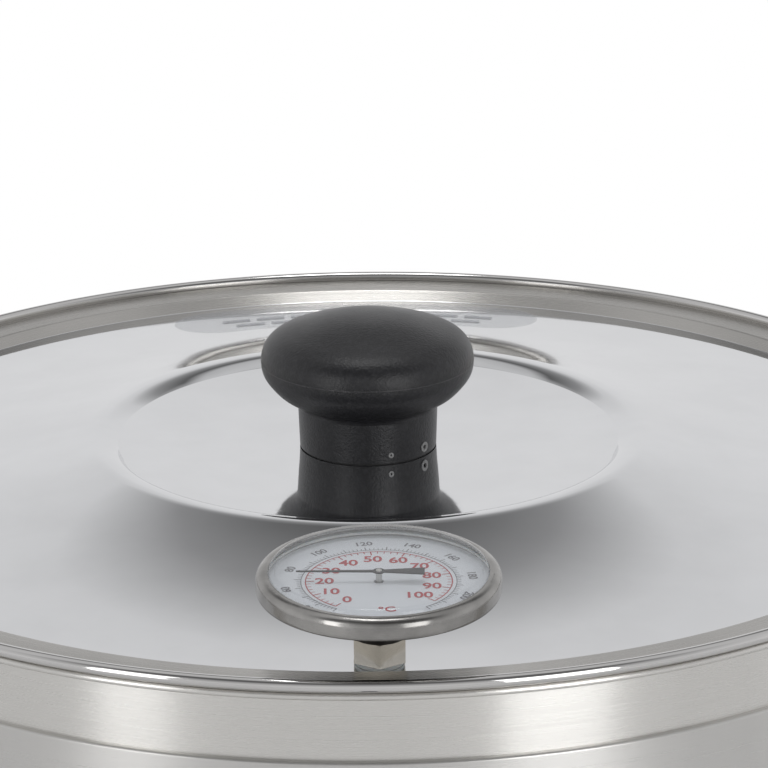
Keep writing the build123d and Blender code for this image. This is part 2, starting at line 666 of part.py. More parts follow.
FOOT_RECESS = 7.0
foot_planes = polar_planes(FOOT_RING_R, 4, 0, first=45)
with BuildPart() as foot_ring:
    turn(
        [
            (FOOT_RING_R - FOOT_W, 0), (FOOT_RING_R + FOOT_W, 0), (FOOT_RING_R + FOOT_W, FOOT_H),
            (FOOT_RING_R - FOOT_W, FOOT_H),
        ],
        rounds=[(FOOT_RING_R - FOOT_W, 0, 1.5), (FOOT_RING_R + FOOT_W, 0, 1.5)],
    )
    for plane in foot_planes:
        drill(plane, 5.0, -1, FOOT_RECESS)
        drill(plane, 2.0, 0, FOOT_H + 1)
finish(foot_ring, "foot_ring")

with BuildPart() as foot_screws:
    for plane in foot_planes:
        drill(plane, 2.0, FOOT_RECESS, plate_top + 5, mode=Mode.ADD)
        drill(plane, 4.2, FOOT_RECESS - 2.5, FOOT_RECESS, mode=Mode.ADD)
finish(foot_screws, "foot_screws")

with BuildPart() as foot_nuts:
    for plane in foot_planes:
        hexagon(plane, 7.0, 2.0, plate_top, plate_top + 3.2)
finish(foot_nuts, "foot_nuts")

# ---- heater ------------------------------------------------------------------------------------
HEATER_T = 4.0
ELEMENT_R = 62.0
ELEMENT_TUBE_R = 4.0
heater_low = tank_low - HEATER_T
with BuildPart() as heater_plate:
    drill(Plane.XY, 90, heater_low, tank_low, mode=Mode.ADD)
finish(heater_plate, "heater_plate")

element_start = bearing_plane(110, 0, 0)
element_level = heater_low - ELEMENT_TUBE_R
with BuildPart() as heating_element:
    with BuildSketch(element_start) as section:
        with Locations((ELEMENT_R, element_level)):
            Circle(ELEMENT_TUBE_R)
    revolve(section.sketch, axis=Axis.Z, revolution_arc=320)
    for bearing in (110, 110 + 320):
        end = Plane((ELEMENT_R * cos(radians(bearing)), ELEMENT_R * sin(radians(bearing)), 0))
        drill(end, ELEMENT_TUBE_R - 0.2, element_level - 20, element_level, mode=Mode.ADD)
        drill(end, 1.6, element_level - 30, element_level, mode=Mode.ADD)
finish(heating_element, "heating_element")

CUTOUT_H = 7.0
with BuildPart() as boil_dry_cutout:
    drill(Plane.XY, 9.0, heater_low - CUTOUT_H, heater_low, mode=Mode.ADD)
    drill(Plane.XY, 11.5, heater_low - 1.5, heater_low, mode=Mode.ADD)
    for side in (-1, 1):
        with BuildSketch(Plane.XY.offset(heater_low - CUTOUT_H + 1)) as blade:
            with Locations((side * 12, 0)):
                Rectangle(10, 5)
        extrude(blade.sketch, amount=0.8)
finish(boil_dry_cutout, "boil_dry_cutout")

RESET_TRAVEL = 1.8
BUSH_TOP = 22.0
with BuildPart() as reset_button:
    drill(Plane.XY, RESET_R, 9.5, heater_low - CUTOUT_H - RESET_TRAVEL - 0.2, mode=Mode.ADD)
    fillet(reset_button.edges().group_by(Axis.Z)[0], 1.0)
    drill(Plane.XY, RESET_R + 1.5, BUSH_TOP + 0.3, BUSH_TOP + 2.3, mode=Mode.ADD)
finish(reset_button, "reset_button")

with BuildPart() as reset_bush:
    tube(Plane.XY, RESET_R + RUNNING, RESET_R + 1.6, FOOT_H - 1.5, BUSH_TOP)
    tube(Plane.XY, RESET_R + RUNNING, RESET_R + 4, FOOT_H - 1.5, FOOT_H)
finish(reset_bush, "reset_bush")

# ---- controls ----------------------------------------------------------------------------------
FASCIA_LOW = CONTROL_Z - 21
FASCIA_HIGH = CONTROL_Z + 21
FASCIA_AZ = 23.0
with BuildPart() as control_fascia:
    ring(SKIRT_R, FASCIA_R, FASCIA_LOW, FASCIA_HIGH)
    with BuildSketch(Plane.XY.offset(FASCIA_LOW)) as wedge:
        with BuildLine():
            reach = 300.0
            Polyline((0, 0), (-reach * tan(radians(FASCIA_AZ)), -reach),
                     (reach * tan(radians(FASCIA_AZ)), -reach), close=True)
        make_face()
    extrude(wedge.sketch, amount=FASCIA_HIGH - FASCIA_LOW, mode=Mode.INTERSECT)
    drill(bore_planes["thermostat"][0], 5.1, 165, 190)
    for plane in lamp_planes:
        drill(plane, LAMP_R, 165, 190)
    with BuildSketch(switch_plane.offset(165)) as switch_hole:
        Rectangle(SWITCH_SIZE[0] + 3, SWITCH_SIZE[1] + 3)
    extrude(switch_hole.sketch, amount=25, mode=Mode.SUBTRACT)
finish(control_fascia, "control_fascia")

SHAFT_R = 3.0
stat = bore_planes["thermostat"][0]
with BuildPart() as thermostat_body:
    with BuildSketch(stat.offset(148)) as box:
        RectangleRounded(36, 28, 3)
    extrude(box.sketch, amount=24)
    drill(stat, 5.1, 170, FASCIA_R + 6, mode=Mode.ADD)
    drill(stat, SHAFT_R + RUNNING, 158, FASCIA_R + 7)
finish(thermostat_body, "thermostat_body")

with BuildPart() as thermostat_nut:
    hexagon(stat, 14.0, 5.1, FASCIA_R, FASCIA_R + 3)
finish(thermostat_nut, "thermostat_nut")

KNOB_BACK = FASCIA_R + 1.5
STAT_R = 18.0
with BuildPart() as thermostat_knob:
    drill(stat, STAT_R, KNOB_BACK, KNOB_BACK + 4, mode=Mode.ADD)
    drill(stat, STAT_R - 4, KNOB_BACK, KNOB_BACK + 18, mode=Mode.ADD)
    with BuildSketch(stat.offset(KNOB_BACK + 4)) as rib:
        Rectangle(5, 2 * STAT_R - 5)
    extrude(rib.sketch, amount=17)
    fillet(thermostat_knob.edges().group_by(Axis.Y)[0], 1.0)
    drill(stat, 9.5, KNOB_BACK - 1, KNOB_BACK + 6)
    drill(stat, SHAFT_R, KNOB_BACK, KNOB_BACK + 14)
finish(thermostat_knob, "thermostat_knob")

with BuildPart() as thermostat_shaft:
    drill(stat, SHAFT_R, 160, KNOB_BACK + 14, mode=Mode.ADD)
finish(thermostat_shaft, "thermostat_shaft")

with BuildPart() as pilot_lamps:
    for plane in lamp_planes:
        drill(plane, LAMP_R, 168, FASCIA_R + 1, mode=Mode.ADD)
        drill(plane, LAMP_R + 1.4, FASCIA_R, FASCIA_R + 1.2, mode=Mode.ADD)
        drill(plane, LAMP_R - 0.2, FASCIA_R, FASCIA_R + 3, mode=Mode.ADD)
    fillet(pilot_lamps.edges().filter_by(lambda rim: rim.radius == LAMP_R - 0.2
                                         if rim.geom_type == GeomType.CIRCLE else False)
           .filter_by(lambda rim: hypot(rim.center().X, rim.center().Y) > FASCIA_R + 2.5), 1.4)
finish(pilot_lamps, "pilot_lamps")

ROCKER_TILT = 8.0
with BuildPart() as switch_housing:
    with BuildSketch(switch_plane.offset(158)) as block:
        Rectangle(SWITCH_SIZE[0] + 3, SWITCH_SIZE[1] + 3)
    extrude(block.sketch, amount=FASCIA_R - 158)
    with BuildSketch(switch_plane.offset(FASCIA_R)) as brim:
        RectangleRounded(SWITCH_SIZE[0] + 6, SWITCH_SIZE[1] + 6, 2)
    extrude(brim.sketch, amount=2)
    with BuildSketch(switch_plane.offset(FASCIA_R - 9)) as mouth:
        Rectangle(*SWITCH_SIZE)
    extrude(mouth.sketch, amount=20, mode=Mode.SUBTRACT)
finish(switch_housing, "switch_housing")

rocker_depth = FASCIA_R - 1
facing = switch_plane.z_dir * cos(radians(ROCKER_TILT)) - Vector(0, 0, sin(radians(ROCKER_TILT)))
rocker_axis = Plane(switch_plane.offset(rocker_depth).origin, x_dir=facing, z_dir=switch_plane.x_dir)
with BuildPart() as switch_rocker:
    with BuildSketch(rocker_axis) as rocker_side:
        with BuildLine():
            Polyline((-3.5, -4.5), (2.0, -8.5), (3.8, -8.5), (3.0, 0), (3.8, 8.5), (2.0, 8.5),
                     (-3.5, 4.5), close=True)
        make_face()
    extrude(rocker_side.sketch, amount=SWITCH_SIZE[0] / 2 - 0.4, both=True)
finish(switch_rocker, "switch_rocker")

# ---- supply ------------------------------------------------------------------------------------
CORD_BORE_R = 4.25  # the gland's head grips the cord
THROAT_R = 5.2
GLAND_R = 11.0
gland_axis = bore_planes["gland"][0]
with BuildPart() as cord_gland:
    drill(gland_axis, 8.0, 160, SKIRT_R + 1, mode=Mode.ADD)
    drill(gland_axis, GLAND_R, SKIRT_R, SKIRT_R + 10, mode=Mode.ADD)
    fillet(cord_gland.edges().group_by(Axis.Y)[-1], 2.0)
    drill(gland_axis, CORD_BORE_R, SKIRT_R - 1, SKIRT_R + 11)
    drill(gland_axis, THROAT_R, 159, SKIRT_R)
finish(cord_gland, "cord_gland")

with BuildPart() as gland_nut:
    hexagon(gland_axis, 21.0, 8.0, skirt_in - 6.6, skirt_in - 0.6)
finish(gland_nut, "gland_nut")

with BuildPart() as terminal_block:
    with Locations((0, 122, plate_top + 8)):
        Box(36, 18, 16)
    for place in (-11, 0, 11):
        with Locations((place, 122, plate_top + 16)):
            Hole(2.4, depth=5)
        with Locations(Location((place, 122 + 9, plate_top + 6), (-90, 0, 0))):
            Hole(2.6, depth=18)
finish(terminal_block, "terminal_block")

# ---- jar rack ----------------------------------------------------------------------------------
RACK_T = 1.0
with BuildPart() as jar_rack:
    turn(
        [
            (0, RACK_TOP - RACK_T), (RACK_R - RACK_T, RACK_TOP - RACK_T), (RACK_R - RACK_T, TANK_FLOOR),
            (RACK_R, TANK_FLOOR), (RACK_R, RACK_TOP), (0, RACK_TOP),
        ],
        rounds=[(RACK_R, RACK_TOP, 2.5), (RACK_R - RACK_T, RACK_TOP - RACK_T, 1.5)],
    )
    with BuildSketch(Plane.XY.offset(RACK_TOP - 2)) as holes:
        Circle(14)
        for radius, count in ((36, 8), (62, 14), (88, 20), (114, 26)):
            with PolarLocations(radius, count):
                Circle(6)
        with PolarLocations(136, 2, start_angle=90):
            Circle(9)
    extrude(holes.sketch, amount=3, mode=Mode.SUBTRACT)
finish(jar_rack, "jar_rack")
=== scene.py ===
"""Looks of the canning urn: a finely turned lid, printed dial, label film and studio.

Metres, +Z up, origin on the floor at the urn's axis, front along -Y.
"""
import json
import bmesh
import bpy
from math import atan2, cos, pi, radians, sin, sqrt, tan
from mathutils import Matrix, Vector


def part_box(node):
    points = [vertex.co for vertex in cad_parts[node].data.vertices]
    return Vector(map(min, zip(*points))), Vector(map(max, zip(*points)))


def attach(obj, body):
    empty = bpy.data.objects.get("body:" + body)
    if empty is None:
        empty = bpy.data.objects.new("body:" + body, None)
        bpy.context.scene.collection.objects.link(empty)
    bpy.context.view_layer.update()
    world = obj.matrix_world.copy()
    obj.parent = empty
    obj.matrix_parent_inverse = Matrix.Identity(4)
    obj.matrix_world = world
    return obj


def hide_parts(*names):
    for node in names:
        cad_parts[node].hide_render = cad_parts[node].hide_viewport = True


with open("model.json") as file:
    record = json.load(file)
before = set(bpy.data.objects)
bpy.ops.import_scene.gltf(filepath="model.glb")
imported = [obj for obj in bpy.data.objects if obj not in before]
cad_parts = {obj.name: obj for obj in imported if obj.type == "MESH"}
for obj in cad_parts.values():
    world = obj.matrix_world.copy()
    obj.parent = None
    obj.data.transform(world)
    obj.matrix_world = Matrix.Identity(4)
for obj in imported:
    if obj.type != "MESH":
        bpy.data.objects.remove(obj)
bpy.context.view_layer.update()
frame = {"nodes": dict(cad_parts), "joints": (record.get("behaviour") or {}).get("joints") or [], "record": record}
NODES = frame["nodes"]
MM = 0.001

# ---- places read from the frame ------------------------------------------------------------------
lid_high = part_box("lid_shell")[1]
knob_low, knob_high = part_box("lid_knob")
LID_R = lid_high.x / MM
JOINTS = {joint["name"]: joint for joint in frame["joints"]}
gauge_joint = JOINTS["pointer_turn"]

# ---- lid's section in mm, heights taken from its rim ---------------------------------------------
ROLL_R = 1.7  # rolled rim
ROLL_STEPS = 40
FLANGE_DROP = 2.6  # brushed flange, below the rim
FLANGE_IN_R = 165.3
FLANGE_FILLET = 1.2
PANEL_R = 162.0  # polished panel's outer edge
PANEL_DROP = 5.6  # that edge, below the rim
PANEL_FILLET = 0.5
PANEL_SLOPE = 2.5  # degrees, at that edge
PANEL_CURVE, PANEL_POWER = 0.00046, 2.2
PANEL_STEP, PANEL_STEPS = 2, 40
CREST_IN_R = 82.0  # where the crest meets the panel
CREST_MIDDLE = (78.2, 5.45)
CREST_START, CREST_END = (1, 0.75), (1, -0.24)  # directions of the crest's two ends
DISC_R = 72.2  # where the disc meets the crest
DISC_RISE = 3.2  # that place, above the rim
DISC_SLOPE, DISC_CURVE = 0.0212, 0.000594
DISC_RADII = (0, 8, 16, 24, 30, 36, 42, 48, 54, 60, 64, 68, 71)
SEAT_RISE = 0.8  # knob's flat seat, above the rim
SEAT_R = 24.0
SHEET = 0.8
DOME = 39.7  # knob's top above the lid's rim
RIM_TOP = knob_high.z / MM - DOME


# ---- mesh helpers --------------------------------------------------------------------------------
FILLET_STEP = 8.0  # degrees
ON_AXIS = 1e-6


def rounded(corners):
    """Points along an outline of (radius, height, fillet) corners; its two ends keep no fillet."""
    points = []
    for index, (r, z, size) in enumerate(corners):
        if size == 0 or index in (0, len(corners) - 1):
            points.append((r, z))
            continue
        here = Vector((r, z))
        before = (Vector(corners[index - 1][:2]) - here).normalized()
        after = (Vector(corners[index + 1][:2]) - here).normalized()
        half = before.angle(after) / 2
        reach = size / tan(half)
        centre = here + (before + after).normalized() * (size / sin(half))
        start = here + before * reach - centre
        turn = pi - 2 * half
        if start.cross(after) < 0:
            turn = -turn
        count = max(3, int(abs(turn) / radians(FILLET_STEP)) + 1)
        for number in range(count + 1):
            spin = turn * number / count
            points.append(
                (
                    centre.x + start.x * cos(spin) - start.y * sin(spin),
                    centre.y + start.x * sin(spin) + start.y * cos(spin),
                )
            )
    return points


def link(name, mesh):
    """An object holding a mesh."""
    piece = bpy.data.objects.new(name, mesh)
    bpy.context.scene.collection.objects.link(piece)
    return piece


def from_build(name, build, material):
    """An object made from a bmesh, which is freed."""
    mesh = bpy.data.meshes.new(name)
    build.to_mesh(mesh)
    build.free()
    mesh.materials.append(material)
    return link(name, mesh)


def lathe(name, profile, segments, materials, pick=None, closed=True, place=None, sharp=35.0):
    """A turned piece from (radius, height) points in mm; pick(r, z) gives a face's material."""
    rings = []
    verts = []
    for r, z in profile:
        if r < ON_AXIS:
            rings.append([len(verts)])
            verts.append((0, 0, z * MM))
            continue
        first = len(verts)
        for number in range(segments):
            angle = 2 * pi * number / segments
            verts.append((r * MM * cos(angle), r * MM * sin(angle), z * MM))
        rings.append(list(range(first, first + segments)))
    faces = []
    owners = []
    pairs = list(zip(range(len(rings)), range(1, len(rings))))
    if closed:
        pairs.append((len(rings) - 1, 0))
    for low, high in pairs:
        a, b = rings[low], rings[high]
        (low_r, low_z), (high_r, high_z) = profile[low], profile[high]
        middle = ((low_r + high_r) / 2, (low_z + high_z) / 2)
        index = pick(*middle) if pick else 0
        for number in range(segments):
            after = (number + 1) % segments
            if len(a) == 1:
                faces.append((a[0], b[after], b[number]))
            elif len(b) == 1:
                faces.append((a[number], a[after], b[0]))
            else:
                faces.append((a[number], a[after], b[after], b[number]))
            owners.append(index)
    mesh = bpy.data.meshes.new(name)
    mesh.from_pydata(verts, [], faces)
    for material in materials:
        mesh.materials.append(material)
    mesh.polygons.foreach_set("material_index", owners)
    build = bmesh.new()
    build.from_mesh(mesh)
    bmesh.ops.recalc_face_normals(build, faces=build.faces)
    build.to_mesh(mesh)
    build.free()
    mesh.shade_smooth()
    mesh.set_sharp_from_angle(angle=radians(sharp))
    piece = link(name, mesh)
    if place is not None:
        piece.matrix_world = place
    return piece


# ---- material helpers ----------------------------------------------------------------------------
class Nodes:
    """A short way to write a node tree."""

    def __init__(self, tree):
        self.tree = tree

    def add(self, kind, **settings):
        node = self.tree.nodes.new(kind)
        for key, value in settings.items():
            setattr(node, key, value)
        return node

    def wire(self, source, target):
        self.tree.links.new(source, target)

    def math(self, operation, a, b=None):
        node = self.add("ShaderNodeMath", operation=operation)
        for slot, value in zip(node.inputs, (a, b)):
            if value is None:
                continue
            if isinstance(value, (int, float)):
                slot.default_value = value
            else:
                self.wire(value, slot)
        return node.outputs[0]

    def noise(self, vector, scale, detail=3.0, rough=0.55):
        node = self.add("ShaderNodeTexNoise")
        node.inputs["Scale"].default_value = scale
        node.inputs["Detail"].default_value = detail
        node.inputs["Roughness"].default_value = rough
        self.wire(vector, node.inputs["Vector"])
        return node.outputs["Fac"]

    def spread(self, value, low, high, out_low, out_high):
        node = self.add("ShaderNodeMapRange")
        node.inputs["From Min"].default_value = low
        node.inputs["From Max"].default_value = high
        node.inputs["To Min"].default_value = out_low
        node.inputs["To Max"].default_value = out_high
        self.wire(value, node.inputs["Value"])
        return node.outputs["Result"]

    def colours(self, value, stops):
        node = self.add("ShaderNodeValToRGB")
        ramp = node.color_ramp
        while len(ramp.elements) < len(stops):
            ramp.elements.new(0.5)
        for element, (place, colour) in zip(ramp.elements, stops):
            element.position = place
            element.color = (*colour, 1)
        self.wire(value, node.inputs["Fac"])
        return node.outputs["Color"]

    def bump(self, height, strength, distance):
        node = self.add("ShaderNodeBump")
        node.inputs["Strength"].default_value = strength
        node.inputs["Distance"].default_value = distance
        self.wire(height, node.inputs["Height"])
        return node.outputs["Normal"]

    def vector(self, x, y, z):
        node = self.add("ShaderNodeCombineXYZ")
        for slot, value in zip(node.inputs, (x, y, z)):
            if isinstance(value, (int, float)):
                slot.default_value = value
            else:
                self.wire(value, slot)
        return node.outputs[0]


class Surface(Nodes):
    """The nodes of a new material."""

    def __init__(self, name):
        self.material = bpy.data.materials.new(name)
        self.material.use_nodes = True
        super().__init__(self.material.node_tree)
        self.shader = self.tree.nodes["Principled BSDF"]
        self.where = self.add("ShaderNodeTexCoord").outputs["Object"]

    def set(self, **values):
        for key, value in values.items():
            self.shader.inputs[key.replace("_", " ")].default_value = value

    def round_axis(self):
        """Radius, bearing and height about the object's own Z axis."""
        parts = self.add("ShaderNodeSeparateXYZ")
        self.wire(self.where, parts.inputs[0])
        x, y, z = parts.outputs
        square = self.math("ADD", self.math("MULTIPLY", x, x), self.math("MULTIPLY", y, y))
        return self.math("SQRT", square), self.math("ARCTAN2", y, x), z


def brushed_round(name, colour, rough, lines, spread=0.10, aniso=0.75, mottling=0.10):
    """Steel brushed round an axis: long fine lines, and a fan-shaped gloss."""
    n = Surface(name)
    radius, bearing, height = n.round_axis()
    across = n.vector(
        n.math("MULTIPLY", bearing, 1.2),
        n.math("MULTIPLY", radius, lines),
        n.math("MULTIPLY", height, lines),
    )
    line = n.noise(across, 1.0, 5.0, 0.7)
    broad = n.vector(n.math("MULTIPLY", bearing, 2.0), n.math("MULTIPLY", radius, 30), height)
    patch = n.noise(broad, 1.6)
    n.wire(n.spread(line, 0.3, 0.7, rough - spread, rough + spread), n.shader.inputs["Roughness"])
    dark = tuple(value * (1 - mottling) for value in colour)
    n.wire(n.colours(patch, [(0.3, dark), (0.7, colour)]), n.shader.inputs["Base Color"])
    n.wire(n.bump(line, 0.25, 0.00004), n.shader.inputs["Normal"])
    tangent = n.add("ShaderNodeTangent", direction_type="RADIAL", axis="Z")
    n.wire(tangent.outputs[0], n.shader.inputs["Tangent"])
    n.set(Metallic=1.0, Anisotropic=aniso, Anisotropic_Rotation=0.25)
    return n.material


def polished(name, colour, rough, wave=0.00012):
    """Mirror-polished sheet with a slow ripple and faint rubbing marks."""
    n = Surface(name)
    radius, bearing, height = n.round_axis()
    ripple = n.noise(n.where, 14.0, 1.5)
    rings = n.vector(n.math("MULTIPLY", bearing, 3.0), n.math("MULTIPLY", radius, 700), height)
    rub = n.noise(rings, 1.0, 4.0)
    smear = n.noise(n.where, 45.0, 3.0)
    rubbed, smeared = n.spread(rub, 0.5, 0.8, 0.0, 1.0), n.spread(smear, 0.4, 0.7, 0.0, 1.0)
    wear = n.math("MULTIPLY", rubbed, smeared)
    n.wire(n.spread(wear, 0.0, 1.0, rough, rough + 0.07), n.shader.inputs["Roughness"])
    n.wire(n.bump(ripple, 1.0, wave), n.shader.inputs["Normal"])
    dull = tuple(value * 0.96 for value in colour)
    n.wire(n.colours(smear, [(0.35, dull), (0.65, colour)]), n.shader.inputs["Base Color"])
    n.set(Metallic=1.0)
    return n.material


def satin(name, colour, rough, grain=900.0, metallic=1.0, mottling=0.12, depth=0.00003):
    """Plain metal with a fine even grain."""
    n = Surface(name)
    grains = n.noise(n.where, grain, 4.0)
    patch = n.noise(n.where, 60.0, 3.0)
    n.wire(n.spread(grains, 0.3, 0.7, rough - 0.06, rough + 0.08), n.shader.inputs["Roughness"])
    dark = tuple(value * (1 - mottling) for value in colour)
    n.wire(n.colours(patch, [(0.3, dark), (0.7, colour)]), n.shader.inputs["Base Color"])
    n.wire(n.bump(grains, 0.2, depth), n.shader.inputs["Normal"])
    n.set(Metallic=metallic)
    return n.material


def moulded(name, colour, rough, grain=1400.0, depth=0.00006, coat=0.0):
    """Moulded plastic with a spark-eroded grain."""
    n = Surface(name)
    grains = n.noise(n.where, grain, 2.0, 0.6)
    speck = n.noise(n.where, grain * 0.45, 5.0, 0.7)
    patch = n.noise(n.where, 35.0, 3.0)
    light = tuple(min(1.0, value * 1.8 + 0.012) for value in colour)
    n.wire(n.colours(speck, [(0.45, colour), (0.8, light)]), n.shader.inputs["Base Color"])
    n.wire(n.spread(patch, 0.3, 0.7, rough - 0.05, rough + 0.06), n.shader.inputs["Roughness"])
    n.wire(n.bump(grains, 0.85, depth), n.shader.inputs["Normal"])
    n.set(Coat_Weight=coat)
    return n.material


def rubbery(name, colour, rough=0.55, through=0.0):
    """Silicone or rubber."""
    n = Surface(name)
    patch = n.noise(n.where, 120.0, 4.0)
    light = tuple(min(1.0, value * 1.25 + 0.01) for value in colour)
    n.wire(n.colours(patch, [(0.3, colour), (0.75, light)]), n.shader.inputs["Base Color"])
    n.wire(n.spread(patch, 0.3, 0.7, rough - 0.07, rough + 0.07), n.shader.inputs["Roughness"])
    n.wire(n.bump(n.noise(n.where, 900.0), 0.2, 0.00004), n.shader.inputs["Normal"])
    n.set(Subsurface_Weight=through)
    return n.material


def clear_glass():
    """Raised gauge lens: lets the dial through and mirrors the room at low angles."""
    n = Surface("gauge_glass")
    output = n.tree.nodes["Material Output"]
    n.set(Base_Color=(0.95, 0.98, 1.0, 1), Roughness=0.02, Metallic=0.0)
    n.set(Specular_IOR_Level=0.0, IOR=1.5, Alpha=0.03)
    dust = n.noise(n.where, 500.0, 4.0)
    n.wire(n.spread(dust, 0.3, 0.8, 0.01, 0.06), n.shader.inputs["Roughness"])
    gloss = n.add("ShaderNodeBsdfGlossy")
    gloss.inputs["Roughness"].default_value = 0.015
    edge = n.add("ShaderNodeFresnel")
    edge.inputs["IOR"].default_value = 1.5
    inside = n.add("ShaderNodeNewGeometry").outputs["Backfacing"]
    mix = n.add("ShaderNodeMixShader")
    n.wire(n.math("MULTIPLY", edge.outputs[0], n.math("SUBTRACT", 1.0, inside)), mix.inputs[0])
    n.wire(n.shader.outputs[0], mix.inputs[1])
    n.wire(gloss.outputs[0], mix.inputs[2])
    n.wire(mix.outputs[0], output.inputs["Surface"])
    return n.material


def printed(name, colour):
    """Screen-printed ink, a little uneven."""
    n = Surface(name)
    patch = n.noise(n.where, 2500.0, 3.0)
    light = tuple(min(1.0, value * 1.3 + 0.03) for value in colour)
    n.wire(n.colours(patch, [(0.35, colour), (0.8, light)]), n.shader.inputs["Base Color"])
    n.wire(n.spread(patch, 0.3, 0.7, 0.4, 0.55), n.shader.inputs["Roughness"])
    return n.material


def woolly():
    """Mineral wool blanket."""
    n = Surface("mineral_wool")
    fibres = n.noise(n.where, 400.0, 8.0, 0.7)
    stops = [(0.3, (0.50, 0.45, 0.30)), (0.7, (0.78, 0.73, 0.58))]
    n.wire(n.colours(fibres, stops), n.shader.inputs["Base Color"])
    n.wire(n.spread(fibres, 0.3, 0.7, 0.85, 1.0), n.shader.inputs["Roughness"])
    n.wire(n.bump(fibres, 0.9, 0.0008), n.shader.inputs["Normal"])
    return n.material


LOOKS = {
    "polished_stainless": polished("lid_mirror", (0.80, 0.805, 0.815), 0.04),
    "brushed_stainless": brushed_round(
        "tank_brushed", (0.79, 0.775, 0.745), 0.25, 5200.0, spread=0.06, aniso=0.9
    ),
    "satin_stainless": brushed_round("shell_satin", (0.70, 0.69, 0.67), 0.34, 2600.0, aniso=0.8),
    "phenolic": moulded(
        "phenolic_black", (0.010, 0.010, 0.012), 0.36, grain=1500.0, depth=0.00016
    ),
    "black_plastic": moulded("black_moulding", (0.022, 0.022, 0.024), 0.48, grain=1800.0),
    "zinc_steel": satin("zinc_plate", (0.62, 0.62, 0.60), 0.30),
    "worn_bezel": satin(
        "bezel_steel", (0.44, 0.43, 0.415), 0.19, grain=260.0, mottling=0.45, depth=0.00010
    ),
    "nickel_brass": satin("nickel_hex", (0.78, 0.74, 0.66), 0.16, grain=700.0),
    "brass": satin("turned_brass", (0.72, 0.53, 0.25), 0.25),
    "chromed_brass": satin("tap_chrome", (0.80, 0.80, 0.80), 0.08, grain=80.0, mottling=0.04),
    "silicone": rubbery("white_silicone", (0.62, 0.61, 0.58), through=0.2),
    "red_silicone": rubbery("red_silicone", (0.38, 0.07, 0.05)),
    "foot_rubber": rubbery("foot_rubber", (0.02, 0.02, 0.02), 0.7),
    "clear_glass": clear_glass(),
    "dial_white": satin("dial_enamel", (0.80, 0.84, 0.89), 0.38, metallic=0.0, mottling=0.03),
    "needle_black": satin("needle_paint", (0.012, 0.012, 0.014), 0.45, metallic=0.0),
    "lamp": rubbery("lamp_lens", (0.62, 0.10, 0.03), 0.16, through=0.3),
    "rocker": moulded("rocker_red", (0.50, 0.025, 0.02), 0.22, depth=0.00002, coat=0.3),
    "fascia": moulded("fascia_grey", (0.075, 0.075, 0.08), 0.45, grain=2400.0),
    "wool": woolly(),
    "heater_alloy": satin("cast_alloy", (0.62, 0.62, 0.64), 0.45, grain=500.0),
    "element_sheath": satin("element_sheath", (0.24, 0.21, 0.19), 0.45),
    "bimetal": satin("bimetal_strip", (0.50, 0.40, 0.27), 0.3),
    "ceramic_white": rubbery("steatite", (0.72, 0.69, 0.62), 0.35),
}
NODE_SLOTS = {row["node"]: row["material_slot"] for row in frame["record"]["subparts"]}
for node, piece in NODES.items():
    piece.data.materials.clear()
    piece.data.materials.append(LOOKS[NODE_SLOTS[node]])
    piece.data.shade_smooth()
    piece.data.set_sharp_from_angle(angle=radians(32))


# ---- lid -----------------------------------------------------------------------------------------
def panel_rise(r):
    """Height of the lid's upper face above its rim, in mm, inside and outside the raised crest."""
    if r > CREST_IN_R - 0.01:
        inward = max(0.0, PANEL_R - r)
        bend = PANEL_CURVE * inward**PANEL_POWER
        return inward * tan(radians(PANEL_SLOPE)) + bend - PANEL_DROP
    out = max(0.0, r - SEAT_R)
    return SEAT_RISE + DISC_SLOPE * out + DISC_CURVE * out**2


def bent(points, first, last, count=14):
    """Points on a smooth curve through three points, with the directions of its two ends."""
    a, b, c = (Vector(point) for point in points)
    h, k = (b - a).length, (c - b).length
    start, end = Vector(first).normalized(), Vector(last).normalized()
    middle = (3 * ((b - a) / h**2 + (c - b) / k**2) - start / h - end / k) / (2 / h + 2 / k)
    curve = []
    for p, q, m, n, span in ((a, b, start, middle, h), (b, c, middle, end, k)):
        for step in range(count):
            t = step / count
            place = (
                (2 * t**3 - 3 * t**2 + 1) * p + (t**3 - 2 * t**2 + t) * span * m
                + (3 * t**2 - 2 * t**3) * q + (t**3 - t**2) * span * n
            )
            curve.append((place.x, place.y))
    return curve + [tuple(c)]


def lid_profile():
    """Outline of the lid's sheet and its rolled rim, from the middle out and back underneath."""
    disc = [(r, panel_rise(r)) for r in DISC_RADII]
    crest_ends = (DISC_R, DISC_RISE), (CREST_IN_R, panel_rise(CREST_IN_R))
    crest = bent([crest_ends[0], CREST_MIDDLE, crest_ends[1]], CREST_START, CREST_END)
    panel_radii = [CREST_IN_R + PANEL_STEP * n for n in range(1, PANEL_STEPS)]
    panel = [(r, panel_rise(r)) for r in panel_radii]
    face = [(r, RIM_TOP + z) for r, z in disc + crest + panel]
    flange = RIM_TOP - FLANGE_DROP
    roll_r, roll_z = LID_R - ROLL_R, RIM_TOP - ROLL_R
    meet = roll_r - sqrt(ROLL_R**2 - (roll_z - flange) ** 2)
    corner = (PANEL_R, RIM_TOP + panel_rise(PANEL_R), PANEL_FILLET)
    foot = (FLANGE_IN_R, flange, FLANGE_FILLET)
    wall = rounded([face[-1] + (0,), corner, foot, (meet, flange, 0)])
    start = atan2(flange - roll_z, meet - roll_r)
    sweep = -(2 * pi + start + pi / 2)
    aims = [start + sweep * n / ROLL_STEPS for n in range(1, ROLL_STEPS + 1)]
    roll = [(roll_r + ROLL_R * cos(aim), roll_z + ROLL_R * sin(aim)) for aim in aims]
    upper = face + wall[1:]
    return upper + roll + [(r, z - SHEET) for r, z in reversed(upper)]


